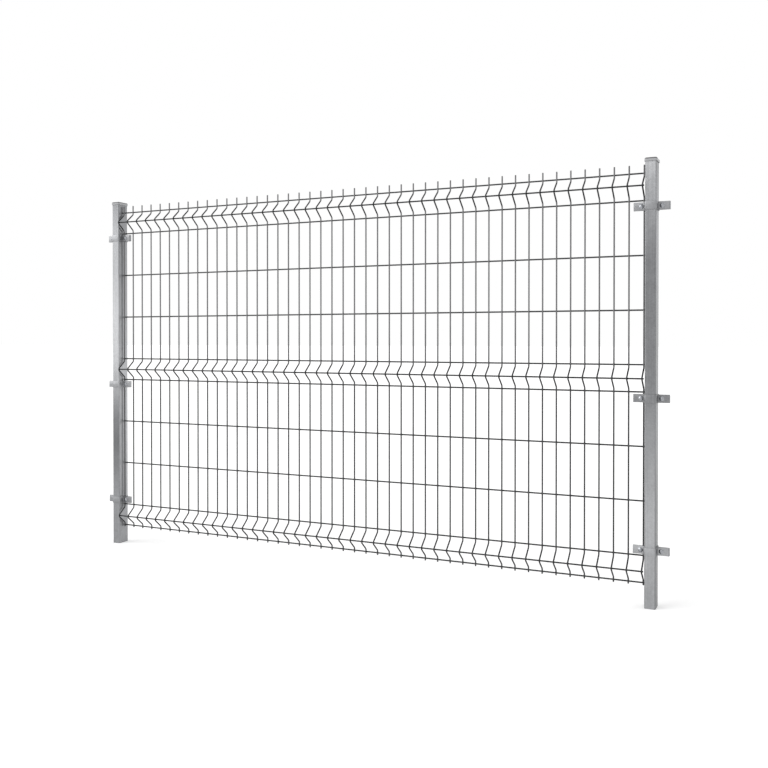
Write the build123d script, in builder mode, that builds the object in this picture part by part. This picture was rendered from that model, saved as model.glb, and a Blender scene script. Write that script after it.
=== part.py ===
from build123d import *

import os
from math import radians, sqrt, tan

# One bay of welded mesh fence: a folded mesh panel held between two tube posts by bolted clamps.
# The origin is the centre of the left post's foot. X runs along the fence to the right post,
# Y runs through it from the viewer's side to the back, and Z is up. All sizes are in millimetres.

# The bay
post_spacing = 2485.0
ground_gap = 85.0
cap_rise = 20.0

# The posts: a rectangular tube, its narrow side along the fence
post_width = 40.0
post_depth = 60.0
post_wall = 2.0
post_corner = 4.0

# The caps, pushed over the tubes
cap_top = 4.5
cap_wall = 3.0
cap_skirt = 8.5
cap_clearance = 0.3
cap_edge = 4.0

# The mesh panel: uprights on the viewer's side, line wires welded behind them
wire = 6.0
upright_count = 46
end_gap = 7.5
stub = 5.0
tail = 8.0
spike = 30.0

# The folds, which stiffen the panel, and the open meshes between them
fold_count = 3
fold_half = 50.0
fold_depth = 40.0
fold_slope = radians(50)
mesh_height = 200.0
mesh_rows = 3

# The clamps: two pressed straps round a post, bolted through their wings
strap = 2.5
clamp_height = 30.0
clamp_clearance = 0.3
clamp_offset = 22.5
clamp_bend = 1.5
wing_length = 45.0
bolt_offset = 17.0
bolt_hole = 8.5
bolt_neck = 9.0

# Heights of the folds, of the flat line wires and of the line wires in the folds' tips
fold_height = 2 * fold_half
fold_rise = fold_height + mesh_rows * mesh_height
fold_feet = [ground_gap + fold * fold_rise for fold in range(fold_count)]
tip_heights = [foot + fold_half for foot in fold_feet]
flat_heights = fold_feet + [foot + fold_height for foot in fold_feet]
for foot in fold_feet[:-1]:
    flat_heights += [foot + fold_height + row * mesh_height for row in range(1, mesh_rows)]
top_wire = fold_feet[-1] + fold_height
overall_height = top_wire + spike + cap_rise

# Places along the fence
post_places = {"left": 0.0, "right": post_spacing}
first_upright = post_width / 2 + end_gap
last_upright = post_spacing - first_upright
upright_pitch = (last_upright - first_upright) / (upright_count - 1)
half_count = upright_count // 2
seam = first_upright + (half_count - 0.5) * upright_pitch

os.makedirs("parts", exist_ok=True)


def write(builder, label):
    """Name a finished piece and write it to its own file."""
    builder.part.label = label
    export_step(builder.part, f"parts/{label}.step")


def make_post(label, x):
    """A rectangular tube with rounded corners, cut square at both ends."""
    with BuildPart() as post:
        with BuildSketch(Plane((x, 0, 0))):
            RectangleRounded(post_width, post_depth, post_corner)
            RectangleRounded(
                post_width - 2 * post_wall,
                post_depth - 2 * post_wall,
                post_corner - post_wall,
                mode=Mode.SUBTRACT,
            )
        extrude(amount=overall_height - cap_top)
    write(post, label)


def make_cap(label, x):
    """A slip-over cap: a top plate with a bevelled edge, and a skirt outside the tube."""
    spread = 2 * (cap_clearance + cap_wall)
    rim = overall_height - cap_top - cap_skirt
    with BuildPart() as cap:
        with BuildSketch(Plane((x, 0, rim))):
            RectangleRounded(
                post_width + spread,
                post_depth + spread,
                post_corner + cap_clearance + cap_wall,
            )
        extrude(amount=cap_skirt + cap_top)
        chamfer(cap.faces().sort_by(Axis.Z)[-1].edges(), cap_edge)
        with BuildSketch(Plane((x, 0, rim))):
            Rectangle(post_width + 2 * cap_clearance, post_depth + 2 * cap_clearance)
        extrude(amount=cap_skirt, mode=Mode.SUBTRACT)
    write(cap, label)


def upright_path():
    """The bent centre line of one upright wire in the YZ plane, from its tail to its spike.

    Each fold's tip is a short flat, which stands for the bend round the line wire inside it and
    is just as long as that wire is thick on its inner side.
    """
    tip_half = wire / 2 * (1 + tan(fold_slope / 2))
    slope_half = tip_half + fold_depth / tan(fold_slope)
    points = [(0, ground_gap - tail)]
    for tip in tip_heights:
        points += [
            (0, tip - slope_half),
            (-fold_depth, tip - tip_half),
            (-fold_depth, tip + tip_half),
            (0, tip + slope_half),
        ]
    points.append((0, top_wire + spike))
    return points


def make_upright():
    """One upright wire at x = 0: a square bar swept along the folded centre line."""
    with BuildPart() as upright:
        with BuildLine(Plane.YZ) as run:
            Polyline(*upright_path())
        with BuildSketch(Plane((0, 0, ground_gap - tail))):
            Rectangle(wire, wire)
        sweep(path=run.wires()[0], transition=Transition.RIGHT)
    return upright.part


def make_mesh(label, upright, places, start, end):
    """Half of the panel: its uprights, and the line wires from start to end, fused where they cross.

    The line wires are square bars that lie flat against the uprights' backs, those in the folds'
    tips too.
    """
    bar_places = [(wire, z) for z in flat_heights] + [(wire - fold_depth, z) for z in tip_heights]
    with BuildPart() as mesh:
        with Locations(*[(x, 0, 0) for x in places]):
            add(upright)
        with BuildSketch(Plane((start, 0, 0), x_dir=(0, 1, 0), z_dir=(1, 0, 0))):
            with Locations(*bar_places):
                Rectangle(wire, wire)
        extrude(amount=end - start)
    write(mesh, label)


def strap_line(lift, front):
    """Half of a strap's outline, lift outside its inner face, from its middle to its wing's end.

    A flat at 45 degrees stands for each bend. It grows with lift where the strap goes round the
    post, and shrinks with it where the wing turns out.
    """
    flat = 2 - sqrt(2)
    side = post_width / 2 + clamp_clearance + lift
    face = -post_depth / 2 - lift
    wing = -wire / 2 - lift
    corner_flat = flat * (post_corner + clamp_clearance + lift)
    root_flat = flat * (clamp_bend + strap - lift)
    reach = post_width / 2 + wing_length
    points = [
        (0, face),
        (side - corner_flat, face),
        (side, face + corner_flat),
        (side, wing - root_flat),
        (side + root_flat, wing),
    ]
    if front:
        lip = reach - strap + lift
        return points + [(lip, wing), (lip, wire / 2)]
    return points + [(reach, wing)]


def make_strap(label, x, z, front):
    """One strap of a clamp: sheet bent round the post, with a bolt hole in each wing.

    Its inner face lies on the post and grips the end wire. The front strap has square holes for
    the bolts' necks, and a lip on each wing that turns back across the wire's thickness to bear
    on the rear strap.
    """
    if front:
        facing = Plane((x, 0, z - clamp_height / 2))
    else:
        facing = Plane((x, 0, z + clamp_height / 2), x_dir=(1, 0, 0), z_dir=(0, 0, -1))
    bolt_centre = post_width / 2 + bolt_offset
    with BuildPart() as piece:
        with BuildSketch(facing):
            with BuildLine():
                Polyline(*strap_line(0, front), *reversed(strap_line(strap, front)), close=True)
            make_face()
            mirror(about=Plane.YZ)
        extrude(amount=clamp_height)
        with BuildSketch(Plane((x, 0, z), x_dir=(1, 0, 0), z_dir=(0, -1, 0))):
            with Locations((-bolt_centre, 0), (bolt_centre, 0)):
                if front:
                    Rectangle(bolt_neck, bolt_neck)
                else:
                    Circle(bolt_hole / 2)
        extrude(amount=wire + strap, both=True, mode=Mode.SUBTRACT)
    write(piece, label)


for side, x in post_places.items():
    make_post(f"{side}_post", x)
    make_cap(f"{side}_post_cap", x)

upright_places = [first_upright + i * upright_pitch for i in range(upright_count)]
one_upright = make_upright()
make_mesh("mesh_left", one_upright, upright_places[:half_count], first_upright - stub, seam)
make_mesh("mesh_right", one_upright, upright_places[half_count:], seam, last_upright + stub)

# The lower clamp sits above its fold and the others below theirs, so that none meets a line wire
clamp_heights = {
    "lower": fold_feet[0] + fold_height + clamp_offset,
    "middle": fold_feet[1] - clamp_offset,
    "upper": fold_feet[2] - clamp_offset,
}
for side, x in post_places.items():
    for level, z in clamp_heights.items():
        make_strap(f"{side}_{level}_clamp_front", x, z, True)
        make_strap(f"{side}_{level}_clamp_rear", x, z, False)
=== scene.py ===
from math import cos, pi, radians, tan

import bpy
import numpy as np
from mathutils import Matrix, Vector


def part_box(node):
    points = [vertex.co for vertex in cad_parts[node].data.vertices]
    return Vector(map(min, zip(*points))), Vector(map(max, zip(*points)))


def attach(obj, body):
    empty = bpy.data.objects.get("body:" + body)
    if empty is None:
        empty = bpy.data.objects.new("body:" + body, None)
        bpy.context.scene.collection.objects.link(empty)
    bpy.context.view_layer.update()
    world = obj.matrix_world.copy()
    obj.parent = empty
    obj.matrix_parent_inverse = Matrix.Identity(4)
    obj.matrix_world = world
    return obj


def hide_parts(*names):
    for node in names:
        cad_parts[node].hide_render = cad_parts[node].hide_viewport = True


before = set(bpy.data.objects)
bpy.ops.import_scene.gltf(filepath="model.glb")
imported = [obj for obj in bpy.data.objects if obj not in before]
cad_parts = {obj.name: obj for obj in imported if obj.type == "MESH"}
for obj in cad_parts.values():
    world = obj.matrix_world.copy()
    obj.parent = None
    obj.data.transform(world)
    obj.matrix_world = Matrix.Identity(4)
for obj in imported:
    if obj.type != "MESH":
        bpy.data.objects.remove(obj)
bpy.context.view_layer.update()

# The two posts are rectangular tubes of cold-formed steel, 40 mm along the fence and 60 mm deep,
# hot-dip galvanised after cutting. They stand open at the foot. Their shape is the CAD nodes' own,
# so this section only gives them their zinc.
mm = 0.001
post_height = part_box("left_post")[1].z

# The marks in the zinc: clouds, runs down the post, and crystals a few millimetres wide
zinc_cloud = 45 * mm
run_width = 5 * mm
run_length = 350 * mm
spangle = 4 * mm
spangle_share = 0.35
spangle_relief = 0.2 * mm

# Most of a noise texture's values lie between these two. The clouds, runs and crystals added up mostly
# lie between the next two, and lighten or darken the zinc by a share of up to mottle_reach
noise_low = 0.3
noise_high = 0.7
mottle_low = 0.87
mottle_high = 1.47
mottle_reach = 0.12

# Tones of the zinc up each post, from foot to top. They are painted reflections: the lighter and darker
# bands stand in for what the zinc mirrors. The faces across the fence, front and rear, have tones of their
# own, and so have the sides, as painted shade for how differently light falls on them
left_faces = [(0.0, "#8b8c8e"), (0.14, "#87888a"), (0.3, "#68696b"), (0.38, "#747577"), (0.54, "#adaeb0"),
              (0.66, "#aeafb1"), (0.8, "#9b9c9e"), (0.92, "#999a9c"), (1.0, "#828385")]
left_sides = [(0.0, "#929395"), (0.2, "#a0a1a3"), (0.46, "#a8a9ab"), (0.64, "#97989a"), (0.85, "#858688"),
              (1.0, "#7a7b7d")]
right_faces = [(0.0, "#98999b"), (0.17, "#a7a8aa"), (0.3, "#9a9b9d"), (0.42, "#898a8c"), (0.53, "#7c7d7f"),
               (0.78, "#78797b"), (0.88, "#8f9092"), (1.0, "#b4b5b7")]
right_sides = [(0.0, "#727375"), (0.22, "#747577"), (0.34, "#838486"), (0.62, "#878889"), (0.86, "#8c8d8f"),
               (1.0, "#707173")]
painted_zinc_tones = {"left": (left_faces, left_sides), "right": (right_faces, right_sides)}


def linear_colour(code):
    """An sRGB hex colour as linear red, green, blue and a full alpha, by the sRGB standard's curve."""
    shares = np.array([int(code[i:i + 2], 16) for i in (1, 3, 5)]) / 255
    linear = np.where(shares <= 0.04045, shares / 12.92, ((shares + 0.055) / 1.055) ** 2.4)
    return (*linear.tolist(), 1.0)


def add_node(tree, kind, inputs=None, stops=(), **settings):
    """Add one node. Settings are its properties, stops its colour ramp, inputs its values or links."""
    node = tree.nodes.new(kind)
    for name, value in settings.items():
        setattr(node, name, value)
    for place, (position, code) in enumerate(stops):
        marks = node.color_ramp.elements
        mark = marks[place] if place < 2 else marks.new(position)
        mark.position = position
        mark.color = linear_colour(code)
    for name, value in (inputs or {}).items():
        if isinstance(value, bpy.types.NodeSocket):
            tree.links.new(value, node.inputs[name])
        else:
            node.inputs[name].default_value = value
    return node


def new_material(name):
    """An empty material with its output node. Returns the material, its tree and the surface socket."""
    material = bpy.data.materials.new(name)
    material.use_nodes = True
    tree = material.node_tree
    tree.nodes.clear()
    return material, tree, tree.nodes.new("ShaderNodeOutputMaterial").inputs["Surface"]


def galvanised_steel(name, faces, sides):
    """Hot-dip galvanised steel: a dull metal whose zinc is cloudy, with long faint runs down it.

    Each crystal is a little lighter or darker than the next. The tones up the height are painted
    reflections. They differ between the faces, where the surface looks across the fence, and the sides,
    where it looks along it, as painted shade.
    """
    material, tree, surface = new_material(name)
    coordinates = add_node(tree, "ShaderNodeTexCoord").outputs
    place = coordinates["Object"]
    height = add_node(tree, "ShaderNodeSeparateXYZ", {"Vector": place}).outputs["Z"]
    share = add_node(tree, "ShaderNodeMath", {0: height, 1: post_height}, operation="DIVIDE")
    face_tone = add_node(tree, "ShaderNodeValToRGB", {"Fac": share.outputs[0]}, stops=faces)
    side_tone = add_node(tree, "ShaderNodeValToRGB", {"Fac": share.outputs[0]}, stops=sides)
    # Painted shade: the surface takes the side tones as it turns to look along the fence, and the face
    # tones as it looks across it
    along_fence = add_node(tree, "ShaderNodeSeparateXYZ", {"Vector": coordinates["Normal"]}).outputs["X"]
    sideways = add_node(tree, "ShaderNodeMath", {0: along_fence}, operation="ABSOLUTE")
    tone = add_node(tree, "ShaderNodeMixRGB",
                    {"Fac": sideways.outputs[0], "Color1": face_tone.outputs["Color"],
                     "Color2": side_tone.outputs["Color"]})
    cloud = add_node(tree, "ShaderNodeTexNoise",
                     {"Vector": place, "Scale": 1 / zinc_cloud, "Detail": 4.0, "Roughness": 0.6})
    along = add_node(tree, "ShaderNodeMapping",
                     {"Vector": place, "Scale": (1 / run_width, 1 / run_width, 1 / run_length)})
    runs = add_node(tree, "ShaderNodeTexNoise",
                    {"Vector": along.outputs[0], "Scale": 1.0, "Detail": 2.0})
    cells = add_node(tree, "ShaderNodeTexVoronoi", {"Vector": place, "Scale": 1 / spangle})
    crystal = add_node(tree, "ShaderNodeSeparateColor", {"Color": cells.outputs["Color"]}).outputs["Red"]
    mixed = add_node(tree, "ShaderNodeMath",
                     {0: cloud.outputs["Fac"], 1: runs.outputs["Fac"]}, operation="ADD")
    mixed = add_node(tree, "ShaderNodeMath",
                     {0: crystal, 1: spangle_share, 2: mixed.outputs[0]}, operation="MULTIPLY_ADD")
    lift = add_node(tree, "ShaderNodeMapRange",
                    {"Value": mixed.outputs[0], "From Min": mottle_low, "From Max": mottle_high,
                     "To Min": 1 - mottle_reach, "To Max": 1 + mottle_reach})
    coat = add_node(tree, "ShaderNodeHueSaturation",
                    {"Color": tone.outputs["Color"], "Value": lift.outputs["Result"]})
    rough = add_node(tree, "ShaderNodeMapRange",
                     {"Value": cloud.outputs["Fac"], "From Min": noise_low, "From Max": noise_high,
                      "To Min": 0.38, "To Max": 0.5})
    relief = add_node(tree, "ShaderNodeBump",
                      {"Height": cells.outputs["Distance"], "Strength": 0.15, "Distance": spangle_relief})
    shader = add_node(tree, "ShaderNodeBsdfPrincipled",
                      {"Base Color": coat.outputs["Color"], "Metallic": 0.8,
                       "Roughness": rough.outputs["Result"], "Normal": relief.outputs["Normal"]})
    tree.links.new(shader.outputs[0], surface)
    return material


for side, (faces, sides) in painted_zinc_tones.items():
    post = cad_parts[f"{side}_post"]
    post.data.materials.clear()
    post.data.materials.append(galvanised_steel(f"galvanised_tube_{side}", faces, sides))


# A cap closes each post. It is moulded in grey polyamide with a fine matt grain, and its skirt is
# pushed down outside the tube until the top plate lands on the tube's end. Its top edge is a broad
# bevel with soft arrises.
cap_height = 13 * mm
cap_edge = 4 * mm
cap_wall = 3 * mm
cap_top = 4.5 * mm
cap_corner = 7.3 * mm
arris = 0.8 * mm
arris_steps = 4
rim_round = 0.6 * mm
rim_steps = 6

# The mould's grain is finer than this, which is as coarse as it needs to be to show
mould_grain = 0.6 * mm
grain_relief = 0.1 * mm

# The shares of the cap's height below which it is painted pale and above which it is painted dark
pale_below = 0.6
painted_dark_above = 0.72


def rounded_rectangle(width, depth, radius, steps=7):
    """A rectangle's outline whose corners are quarter circles, as (across, along) points.

    A corner's points are its centre plus radius times the cosine and sine of its quarter turn.
    """
    angle = np.linspace(0, pi / 2, steps) + np.arange(4)[:, None] * pi / 2
    corner = np.array([(1, 1), (-1, 1), (-1, -1), (1, -1)]) * (width / 2 - radius, depth / 2 - radius)
    arc = radius * np.stack([np.cos(angle), np.sin(angle)], axis=-1)
    return (corner[:, None] + arc).reshape(-1, 2)


def add_surface(name, grid, material, ring=False, crease=35):
    """Make a closed piece from a grid of points: copies by rows by columns.

    Neighbouring points make four-sided faces, and the last column joins the first. The rows join
    up in the same way on a ring, and otherwise one flat face closes each end. The faces are turned
    if the volume that they enclose, seen from a copy's middle, is negative. Edges that turn by more
    than the crease, in degrees, are sharp.
    """
    copies, rows, columns = grid.shape[:3]
    points = grid.reshape(-1, 3)
    here = np.arange(len(points)).reshape(copies, rows, columns)
    if ring:
        here = np.concatenate([here, here[:, :1]], axis=1)
    beside = np.roll(here, -1, axis=2)
    quads = np.stack([here[:, :-1], beside[:, :-1], beside[:, 1:], here[:, 1:]], axis=-1)
    ends = [] if ring else [here[:, 0, ::-1], here[:, -1]]
    a, b, c, d = (points[quads[0].reshape(-1, 4)[:, i]] - grid[0].mean(axis=(0, 1)) for i in range(4))
    volume = (np.cross(a, b) * c + np.cross(a, c) * d).sum()
    turn = -1 if volume < 0 else 1
    faces = quads.reshape(-1, 4)[:, ::turn].tolist()
    for end in ends:
        faces += end[:, ::turn].tolist()
    mesh = bpy.data.meshes.new(name)
    mesh.from_pydata(points.tolist(), [], faces)
    mesh.polygons.foreach_set("use_smooth", np.ones(len(mesh.polygons), dtype=bool))
    mesh.set_sharp_from_angle(angle=radians(crease))
    mesh.materials.append(material)
    piece = bpy.data.objects.new(name, mesh)
    bpy.context.scene.collection.objects.link(piece)
    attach(piece, "root")
    return piece


# Moulded polyamide looks matt and a little soft. Its skirt is painted pale, as painted light, and from the
# bevel up it is painted dark, as painted shade on the upward edge
cap_grey, tree, surface = new_material("moulded_grey_polyamide")
place = add_node(tree, "ShaderNodeTexCoord").outputs["Object"]
grain = add_node(tree, "ShaderNodeTexNoise", {"Vector": place, "Scale": 1 / mould_grain})
up = add_node(tree, "ShaderNodeSeparateXYZ", {"Vector": place}).outputs["Z"]
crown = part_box("left_post_cap")[1].z
share = add_node(tree, "ShaderNodeMapRange",
                 {"Value": up, "From Min": crown - cap_height, "From Max": crown})
tint = add_node(tree, "ShaderNodeValToRGB", {"Fac": share.outputs["Result"]},
                stops=[(pale_below, "#a9aaac"), (painted_dark_above, "#424345")])
relief = add_node(tree, "ShaderNodeBump",
                  {"Height": grain.outputs["Fac"], "Strength": 0.25, "Distance": grain_relief})
shader = add_node(tree, "ShaderNodeBsdfPrincipled",
                  {"Base Color": tint.outputs["Color"], "Roughness": 0.5, "IOR": 1.53,
                   "Normal": relief.outputs["Normal"]})
tree.links.new(shader.outputs[0], surface)

for side in ("left", "right"):
    low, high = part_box(f"{side}_post_cap")
    middle = (low + high) / 2
    width, depth = high.x - low.x, high.y - low.y
    quarter = np.linspace(0, pi / 2, rim_steps)
    eighth = np.linspace(0, pi / 4, arris_steps)
    bevel = cap_edge + arris * tan(pi / 8)
    # Each row is an outline drawn in by an inset, at a height: the cavity, the rim, the bevel's two arrises
    inset = np.concatenate([[cap_wall, cap_wall],
                            rim_round * (1 - np.sin(quarter)),
                            arris * (1 - np.cos(eighth)),
                            bevel - arris * np.sin(eighth[::-1])])
    height = np.concatenate([[high.z - cap_top, low.z],
                             low.z + rim_round * (1 - np.cos(quarter)),
                             high.z - bevel + arris * np.sin(eighth),
                             high.z - arris * (1 - np.cos(eighth[::-1]))])
    rows = [rounded_rectangle(width - 2 * i, depth - 2 * i, cap_corner - i) for i in inset]
    outline = np.array(rows) + (middle.x, middle.y)
    level = np.broadcast_to(height[:, None, None], outline.shape[:2] + (1,))
    grid = np.concatenate([outline, level], axis=-1)
    cap = add_surface(f"{side}_cap", grid[None], cap_grey)
    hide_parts(f"{side}_post_cap")


# The panel is one welded mesh of drawn steel wire, 6 mm thick and zinc coated. Forty-six uprights
# are bent in a press to three folds that point to the viewer, which make the panel stiff. They
# run past the top line wire as spikes, and a little past the bottom one.
wire = 6 * mm
wire_sides = 12
upright_count = 46
stub = 5 * mm
tail = 8 * mm
fold_count = 3
fold_half = 50 * mm
fold_depth = 40 * mm
fold_slope = radians(50)
mesh_height = 200 * mm
mesh_rows = 3
tip_bend = 9 * mm
foot_bend = 9 * mm

# A shear draws in the last shear_edge of a cut wire, to this share of its thickness
shear_edge = 0.6 * mm
shear_draw = 0.8

# The die's lines are finer than this on a real wire, and this is as coarse as they need to be to show
draw_line = 0.7 * mm
draw_length = 60 * mm

# Painted shade on the folds' slopes, which turn away from the light: the zinc is painted fully dull from
# the depth below in front of the flat runs' middle line. The wire is also darker towards the bottom: it
# begins to darken below the first of the two heights, and from the second down it is darker by the share
# after them
slope_shade_depth = 1.5 * wire
darkening_top = 1050 * mm
darkening_foot = 750 * mm
darkening_share = 0.8

fence_way = (1, 0, 0)
up_way = (0, 0, 1)
mesh_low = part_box("mesh_left")[0]
mesh_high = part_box("mesh_right")[1]
mesh_foot = mesh_low.z + tail
fold_feet = mesh_foot + (2 * fold_half + mesh_rows * mesh_height) * np.arange(fold_count)
upright_x = np.linspace(mesh_low.x + stub, mesh_high.x - stub, upright_count)


def rounded_path(corners, radii, steps=5):
    """Points along straight runs whose corners are arcs, and the way the path heads at each.

    At a corner that turns by an angle, an arc of radius r starts r * tan(angle / 2) before the
    corner. After a turn of t its point lies r * sin(t) further along the first run, and
    r * (1 - cos(t)) towards the arc's centre.
    """
    runs = np.diff(corners, axis=0)
    heading = runs / np.linalg.norm(runs, axis=1, keepdims=True)
    into, out_of = heading[:-1], heading[1:]
    turn = np.arccos(np.clip((into * out_of).sum(axis=1), -1, 1))
    inward = out_of - into * np.cos(turn)[:, None]
    inward = inward / np.linalg.norm(inward, axis=1, keepdims=True)
    start = corners[1:-1] - into * (radii * np.tan(turn / 2))[:, None]
    t = (turn[:, None] * np.linspace(0, 1, steps))[..., None]
    into, inward, r = into[:, None], inward[:, None], radii[:, None, None]
    arcs = start[:, None] + r * (np.sin(t) * into + (1 - np.cos(t)) * inward)
    ways = np.cos(t) * into + np.sin(t) * inward
    points = np.concatenate([corners[:1], arcs.reshape(-1, 3), corners[-1:]])
    return points, np.concatenate([heading[:1], ways.reshape(-1, 3), heading[-1:]])


def swept(points, ways, side, section, scale=1.0):
    """Carry a flat section along a path.

    A point of it is the path's point plus u times the path's normal, which is the heading crossed
    with side, plus v times side.
    """
    normal = np.cross(ways, side)[:, None]
    u, v = section[:, :1], section[:, 1:]
    return points[:, None] + scale * (u * normal + v * np.array(side, dtype=float))


def with_sheared_ends(points, ways):
    """Add a row just inside each end, and draw the end rows in, as a shear leaves a cut wire."""
    points = np.concatenate([points[:1], points[:1] + shear_edge * ways[:1], points[1:-1],
                             points[-1:] - shear_edge * ways[-1:], points[-1:]])
    ways = np.concatenate([ways[:1], ways, ways[-1:]])
    scale = np.ones((len(points), 1, 1))
    scale[[0, -1]] = shear_draw
    return points, ways, scale


def coated_wire(name, bright, dull):
    """Zinc-coated drawn wire: a satin metal with faint lines left by the die along its length.

    Its zinc is bright on the straight runs of the upper half. Its folds are painted dull, as painted shade
    where the slopes turn away from the light, and it is darker on the lower half.
    """
    material, tree, surface = new_material(name)
    place = add_node(tree, "ShaderNodeTexCoord").outputs["Object"]
    axes = add_node(tree, "ShaderNodeSeparateXYZ", {"Vector": place}).outputs
    # Painted shade: the folds' slopes are dulled by their depth in front of the flat runs
    slope_shade = add_node(tree, "ShaderNodeMapRange",
                    {"Value": axes["Y"], "From Min": -wire / 2, "From Max": -slope_shade_depth})
    low = add_node(tree, "ShaderNodeMapRange",
                   {"Value": axes["Z"], "From Min": darkening_top, "From Max": darkening_foot,
                    "To Max": darkening_share})
    painted_dulling = add_node(tree, "ShaderNodeMath",
                    {0: slope_shade.outputs["Result"], 1: low.outputs["Result"]}, operation="MAXIMUM")
    zinc = add_node(tree, "ShaderNodeValToRGB", {"Fac": painted_dulling.outputs[0]},
                    stops=[(0.0, bright), (1.0, dull)])
    along = add_node(tree, "ShaderNodeMapping",
                     {"Vector": place, "Scale": (1 / draw_line, 1 / draw_line, 1 / draw_length)})
    lines = add_node(tree, "ShaderNodeTexNoise",
                     {"Vector": along.outputs[0], "Scale": 1.0, "Detail": 3.0})
    lift = add_node(tree, "ShaderNodeMapRange",
                    {"Value": lines.outputs["Fac"], "From Min": noise_low, "From Max": noise_high,
                     "To Min": 0.9, "To Max": 1.1})
    tone = add_node(tree, "ShaderNodeHueSaturation",
                    {"Color": zinc.outputs["Color"], "Value": lift.outputs["Result"]})
    rough = add_node(tree, "ShaderNodeMapRange",
                     {"Value": lines.outputs["Fac"], "From Min": noise_low, "From Max": noise_high,
                      "To Min": 0.3, "To Max": 0.45})
    shader = add_node(tree, "ShaderNodeBsdfPrincipled",
                      {"Base Color": tone.outputs["Color"], "Metallic": 0.85,
                       "Roughness": rough.outputs["Result"]})
    tree.links.new(shader.outputs[0], surface)
    return material


# The wire's section is a ring of points, and an upright's corners lie in the YZ plane at x = 0
ring_turns = np.arange(wire_sides) * 2 * pi / wire_sides
round_section = wire / 2 * np.stack([np.cos(ring_turns), np.sin(ring_turns)], axis=-1)
tip_half = wire / 2 * (1 + tan(fold_slope / 2))
slope_foot = fold_half - tip_half - fold_depth / tan(fold_slope)
fold_steps = np.array([(0, slope_foot), (-fold_depth, fold_half - tip_half),
                       (-fold_depth, fold_half + tip_half), (0, 2 * fold_half - slope_foot)])
fold_corners = (fold_steps + np.stack([np.zeros(fold_count), fold_feet], axis=-1)[:, None]).reshape(-1, 2)
upright_corners = np.concatenate([[(0, mesh_low.z)], fold_corners, [(0, mesh_high.z)]])
upright_corners = np.insert(upright_corners, 0, 0, axis=1)
bend_radii = np.tile([foot_bend, tip_bend, tip_bend, foot_bend], fold_count)
points, ways, scale = with_sheared_ends(*rounded_path(upright_corners, bend_radii))
upright_grid = swept(points, ways, fence_way, round_section, scale)
upright_grid = upright_grid + np.insert(np.zeros((upright_count, 2)), 0, upright_x, axis=1)[:, None, None]
upright_zinc = coated_wire("zinc_coated_wire_upright", bright="#6b6b6c", dull="#343536")
uprights = add_surface("mesh_uprights", upright_grid, upright_zinc)
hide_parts("mesh_left", "mesh_right")


# Thirteen straight line wires of the same wire run the panel's full width, welded on the rear of
# the uprights. Ten lie flat behind them, at the foot and top of each fold and across the open
# mesh, and three lie inside the folds' tips, where both slopes of each upright hold them.
weld_sink = 0.6 * mm
flat_y = wire - weld_sink
tip_y = flat_y - fold_depth
open_z = [fold_feet[:-1] + 2 * fold_half + row * mesh_height for row in range(1, mesh_rows)]
flat_z = np.concatenate([fold_feet, fold_feet + 2 * fold_half, *open_z])
tip_z = fold_feet + fold_half
line_yz = np.concatenate([np.stack([np.full_like(flat_z, flat_y), flat_z], axis=-1),
                          np.stack([np.full_like(tip_z, tip_y), tip_z], axis=-1)])

# The line wires are painted a darker tone than the uprights, as painted shade for the sheen that a level
# wire misses
line_ends = np.array([(mesh_low.x, 0, 0), (mesh_high.x, 0, 0)])
points, ways, scale = with_sheared_ends(line_ends, np.array([fence_way, fence_way], dtype=float))
line_grid = swept(points, ways, up_way, round_section, scale)
line_grid = line_grid + np.insert(line_yz, 0, 0, axis=1)[:, None, None]
line_zinc = coated_wire("zinc_coated_wire_line", bright="#3c3d3e", dull="#343536")
add_surface("mesh_line_wires", line_grid, line_zinc)


# Each of the 598 crossings is a resistance weld. The electrodes press the hot wires into each
# other, and a little steel swells out round the joint, most at the four corners. The zinc burns
# off there, so a mark is rougher than the wire and has lost its shine.
weld_reach = 3.1 * mm
weld_swell = 0.12
weld_half_depth = 1.3 * mm
mark_points = 12
scorch_spot = 3 * mm

# A mark is a lens between the wires. Its reach is weld_reach times the belt's share at each depth, and
# that times 1 - weld_swell * cos(4 * angle), so that it is widest in the four corners
around = np.arange(mark_points) * 2 * pi / mark_points
belt = np.array([0.35, 0.85, 1.0, 0.85, 0.35])[:, None]
depth = weld_half_depth * np.array([-1.0, -0.55, 0, 0.55, 1.0])[:, None]
reach = weld_reach * belt * (1 - weld_swell * np.cos(4 * around))
mark = np.stack(np.broadcast_arrays(reach * np.cos(around), depth, reach * np.sin(around)), axis=-1)
weld_yz = line_yz - (wire / 2 - weld_sink / 2, 0)
crossing = np.stack(np.broadcast_arrays(upright_x[:, None], weld_yz[:, 0], weld_yz[:, 1]), axis=-1)
mark_grid = crossing.reshape(-1, 1, 1, 3) + mark

weld_grey, tree, surface = new_material("burnt_zinc_weld")
place = add_node(tree, "ShaderNodeTexCoord").outputs["Object"]
scorch = add_node(tree, "ShaderNodeTexNoise", {"Vector": place, "Scale": 1 / scorch_spot, "Detail": 3.0})
tone = add_node(tree, "ShaderNodeValToRGB", {"Fac": scorch.outputs["Fac"]},
                stops=[(noise_low, "#393a3b"), (noise_high, "#515253")])
shader = add_node(tree, "ShaderNodeBsdfPrincipled",
                  {"Base Color": tone.outputs["Color"], "Metallic": 0.6, "Roughness": 0.6})
tree.links.new(shader.outputs[0], surface)
add_surface("mesh_weld_marks", mark_grid, weld_grey, crease=180)


# Six clamps hold the panel. Each is two straps of galvanised sheet, 2.5 mm thick and 30 mm high,
# pressed round the post from the front and from the rear. Their wings grip the panel's end wires
# between them, and the front strap's lips turn back over the rear one's ends.
strap = 2.5 * mm
strap_edge = 0.5 * mm
strap_clearance = 0.3 * mm
post_corner = 4 * mm
wing_bend = 1.5 * mm
lip_bend = 1.0 * mm
bolt_offset = 17 * mm

# The straps come from the same zinc bath as their post, and carry its tones, painted reflections and
# painted shade included
strap_zinc = {side: galvanised_steel(f"galvanised_strap_{side}", faces, sides)
              for side, (faces, sides) in painted_zinc_tones.items()}

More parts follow.
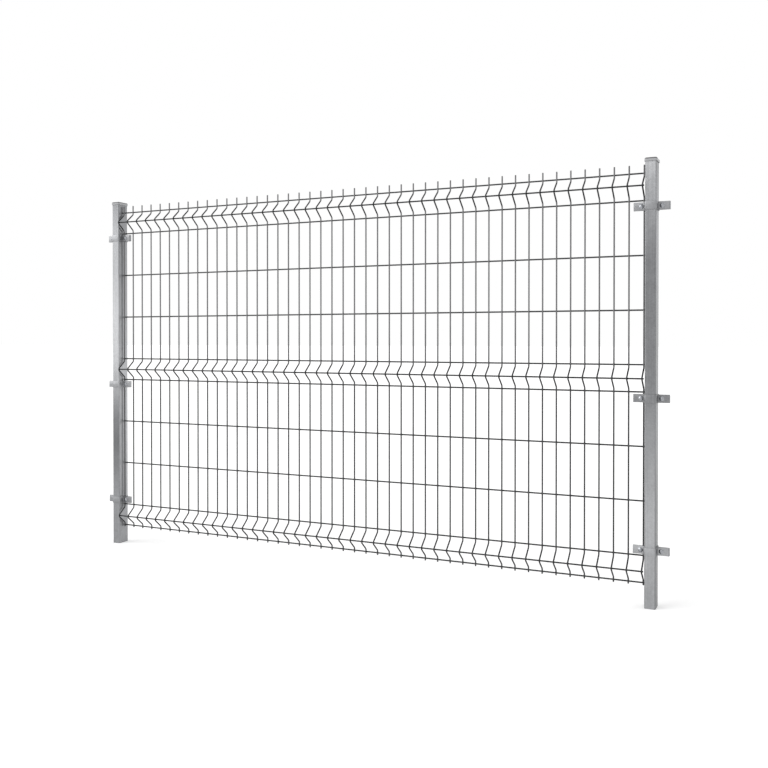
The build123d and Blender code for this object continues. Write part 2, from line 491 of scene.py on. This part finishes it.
clamps = [f"{side}_{level}_clamp" for side in ("left", "right") for level in ("upper", "middle", "lower")]
bolt_places = []
for clamp in clamps:
    side = clamp.split("_")[0]
    post_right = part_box(f"{side}_post")[1].x
    for face, way in (("front", 1), ("rear", -1)):
        low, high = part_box(f"{clamp}_{face}")
        middle = (low + high) / 2
        reach = (high.x - low.x) / 2
        post_front = way * (low.y if way > 0 else high.y) + strap / 2
        side_x = post_right - middle.x + strap_clearance + strap / 2
        wing_y = -(wire + strap) / 2
        # Half of the strap's middle line, from the post's corner to the wing's end. The other mirrors it
        half = [(side_x, post_front), (side_x, wing_y)]
        radii = [post_corner + strap_clearance + strap / 2, wing_bend + strap / 2]
        if face == "front":
            half += [(reach - strap / 2, wing_y), (reach - strap / 2, wire / 2)]
            radii += [lip_bend + strap / 2]
        else:
            half += [(reach, wing_y)]
        half = np.array(half)
        outline = np.concatenate([half[::-1] * (-1, 1), half]) * (1, way)
        corners = np.concatenate([outline, np.zeros((len(outline), 1))], axis=1) + (middle.x, 0, middle.z)
        points, ways = rounded_path(corners, np.array(radii[::-1] + radii), steps=7)
        section = rounded_rectangle(strap, high.z - low.z, strap_edge, steps=3)
        piece = add_surface(f"{clamp}_{face}_strap", swept(points, ways, up_way, section)[None],
                            strap_zinc[side])
        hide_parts(f"{clamp}_{face}")
    bolt_reach = post_right - middle.x + bolt_offset
    bolt_places += [(middle.x - bolt_reach, 0, middle.z), (middle.x + bolt_reach, 0, middle.z)]
bolt_places = np.array(bolt_places)[:, None, None]


# Each clamp is closed by two M8 x 25 carriage bolts of bright zinc-plated steel. The square neck
# sits in the front strap's hole, so the low round head can't turn, and a washer and a hexagon nut
# are tightened behind the rear wing, with the thread's end standing out.
head_radius = 9 * mm
head_height = 4.5 * mm
head_rim = 0.9 * mm
head_rows = 8
head_flat = 0.05
shank_radius = 4 * mm
thread_pitch = 1.25 * mm
thread_depth = 0.6 * mm
thread_rows = 6
bolt_length = 25 * mm
bolt_sides = 24
washer_radius = 8 * mm
washer_thick = 1.6 * mm
nut_flats = 13 * mm
nut_thick = 6.5 * mm
nut_chamfer = 0.9 * mm
nut_land = 0.98
nut_sides = 48
wing_front = -(wire / 2 + strap)
wing_rear = wire / 2 + strap
plating_haze = 2 * mm

# Plated zinc is thin and even, so it shines more sharply than the straps, with only a faint haze
plated, tree, surface = new_material("bright_zinc_plating")
place = add_node(tree, "ShaderNodeTexCoord").outputs["Object"]
haze = add_node(tree, "ShaderNodeTexNoise", {"Vector": place, "Scale": 1 / plating_haze, "Detail": 2.0})
tone = add_node(tree, "ShaderNodeValToRGB", {"Fac": haze.outputs["Fac"]},
                stops=[(noise_low, "#8f9195"), (noise_high, "#a2a4a8")])
shader = add_node(tree, "ShaderNodeBsdfPrincipled",
                  {"Base Color": tone.outputs["Color"], "Metallic": 1.0, "Roughness": 0.25})
tree.links.new(shader.outputs[0], surface)


def turned(radius, place, sides):
    """Turn a profile about the bolt's axis, which runs along Y: one row for each radius and place.

    At each angle x is the radius times its cosine, and z the radius times its sine.
    """
    angle = np.arange(sides) * 2 * pi / sides
    radius = np.broadcast_to(radius, (len(place), sides))
    return np.stack([radius * np.cos(angle), np.broadcast_to(place[:, None], radius.shape),
                     radius * np.sin(angle)], axis=-1)


# The head is a slice of a ball on a thin rim, with a small flat at its middle, head_flat of its radius
# wide. The thread is a ridge whose height follows its helix
ball = (head_radius ** 2 + (head_height - head_rim) ** 2) / (2 * (head_height - head_rim))
dome_r = head_radius * np.linspace(head_flat, 1, head_rows)
dome_y = wing_front - head_height + ball - np.sqrt(ball ** 2 - dome_r ** 2)
bolt_end = wing_front + bolt_length
thread_y = np.arange(wing_rear, bolt_end - thread_pitch, thread_pitch / thread_rows)
bolt_y = np.concatenate([dome_y, [wing_front, wing_front], thread_y, [bolt_end]])
bolt_r = np.concatenate([dome_r, [head_radius, shank_radius],
                         np.full(len(thread_y), shank_radius), [shank_radius - 2 * thread_depth]])
threaded = np.concatenate([np.zeros(len(dome_r) + 2), np.ones(len(thread_y)), [0]])
helix = bolt_y[:, None] / thread_pitch - np.arange(bolt_sides) / bolt_sides
ridge = np.abs(2 * (helix % 1) - 1)
bolt_grid = turned(bolt_r[:, None] - thread_depth * ridge * threaded[:, None], bolt_y, bolt_sides)
add_surface("clamp_bolts", bolt_grid + bolt_places, plated)

washer_r = np.array([shank_radius, washer_radius, washer_radius, shank_radius])
washer_y = wing_rear + washer_thick * np.array([0.0, 0, 1, 1])
add_surface("clamp_washers", turned(washer_r[:, None], washer_y, bolt_sides) + bolt_places, plated,
            ring=True)

# A nut's side is the nearer of its hexagon and of the cone that chamfers the hexagon's corners. The
# cone meets the nut's faces at nut_land of the flats' width
nut_angle = np.arange(nut_sides) * 2 * pi / nut_sides
hexagon = nut_flats / 2 / np.cos((nut_angle % (pi / 3)) - pi / 6)
nut_cone = nut_flats / 2 * np.array([nut_land, 1.0 / cos(pi / 6), 1.0 / cos(pi / 6), nut_land])
nut_bore = np.full((1, nut_sides), shank_radius)
nut_r = np.concatenate([nut_bore, np.minimum(hexagon, nut_cone[:, None]), nut_bore])
nut_foot = wing_rear + washer_thick
nut_y = nut_foot + np.array([0, 0, nut_chamfer, nut_thick - nut_chamfer, nut_thick, nut_thick])
add_surface("clamp_nuts", turned(nut_r, nut_y, nut_sides) + bolt_places, plated, ring=True)


# The studio: a pale floor that runs to the horizon, an even white surround, and two broad lamps.
# The floor and the surround show as white to the camera and in the metal, and the floor keeps the
# soft shadows at the feet.
floor_reach = 120.0
floor_glow = 0.27
surround_glow = 0.6


def shows_white(tree):
    """A socket that is 1 for a ray from the camera, a mirror or glass, and 0 for light on the object."""
    path = add_node(tree, "ShaderNodeLightPath")
    seen = add_node(tree, "ShaderNodeMath",
                    {0: path.outputs["Is Camera Ray"], 1: path.outputs["Is Glossy Ray"]},
                    operation="MAXIMUM")
    seen = add_node(tree, "ShaderNodeMath",
                    {0: seen.outputs[0], 1: path.outputs["Is Transmission Ray"]}, operation="MAXIMUM")
    return seen.outputs[0]


floor_white, tree, surface = new_material("pale_floor")
glow = add_node(tree, "ShaderNodeMath", {0: shows_white(tree), 1: floor_glow}, operation="MULTIPLY")
shader = add_node(tree, "ShaderNodeBsdfDiffuse", {"Color": linear_colour("#fbfbfb")})
light = add_node(tree, "ShaderNodeEmission", {"Strength": glow.outputs[0]})
both = add_node(tree, "ShaderNodeAddShader", {0: shader.outputs[0], 1: light.outputs[0]})
tree.links.new(both.outputs[0], surface)

corners = floor_reach * np.array([(-1.0, -1, 0), (1, -1, 0), (1, 1, 0), (-1, 1, 0)])
floor_mesh = bpy.data.meshes.new("floor")
floor_mesh.from_pydata(corners.tolist(), [], [(0, 1, 2, 3)])
floor_mesh.materials.append(floor_white)
floor = bpy.data.objects.new("floor", floor_mesh)
bpy.context.scene.collection.objects.link(floor)

world = bpy.data.worlds.new("white_studio")
bpy.context.scene.world = world
world.use_nodes = True
tree = world.node_tree
tree.nodes.clear()
strength = add_node(tree, "ShaderNodeMapRange",
                    {"Value": shows_white(tree), "To Min": surround_glow, "To Max": 1.0})
back = add_node(tree, "ShaderNodeBackground",
                {"Color": linear_colour("#ffffff"), "Strength": strength.outputs["Result"]})
add_node(tree, "ShaderNodeOutputWorld", {"Surface": back.outputs[0]})


def add_sun(name, strength, spread, tilt, turn):
    """A sun lamp. In degrees, spread is its width in the sky, tilt its angle down from straight above,
    and turn its compass angle.
    """
    lamp = bpy.data.lights.new(name, "SUN")
    lamp.energy = strength
    lamp.angle = radians(spread)
    holder = bpy.data.objects.new(name, lamp)
    holder.rotation_euler = (radians(tilt), 0, radians(turn))
    bpy.context.scene.collection.objects.link(holder)


add_sun("key_lamp", strength=1.6, spread=60, tilt=62, turn=-56)
add_sun("fill_lamp", strength=0.8, spread=60, tilt=70, turn=128)


# The camera stands at the photograph's place, at waist height, 3.4 m in front of the fence and half
# a metre past its right post, and looks back along the fence. Its place, angles and focal length
# were fitted to the wires' places in the photograph.
image_size = 768
focal_pixels = 896.54
horizon_row = 347.6
camera_place = (2.9958, -3.3695, 0.9779)
camera_dip = 0.5286
camera_turn = 25.2429

camera_data = bpy.data.cameras.new("camera")
camera_data.sensor_width = 36.0
camera_data.lens = focal_pixels / image_size * camera_data.sensor_width
camera_data.shift_y = (horizon_row - image_size / 2) / image_size
camera = bpy.data.objects.new("camera", camera_data)
camera.location = camera_place
camera.rotation_euler = (radians(90 - camera_dip), 0, radians(camera_turn))
bpy.context.scene.collection.objects.link(camera)
bpy.context.scene.camera = camera
bpy.context.scene.view_settings.view_transform = "Standard"
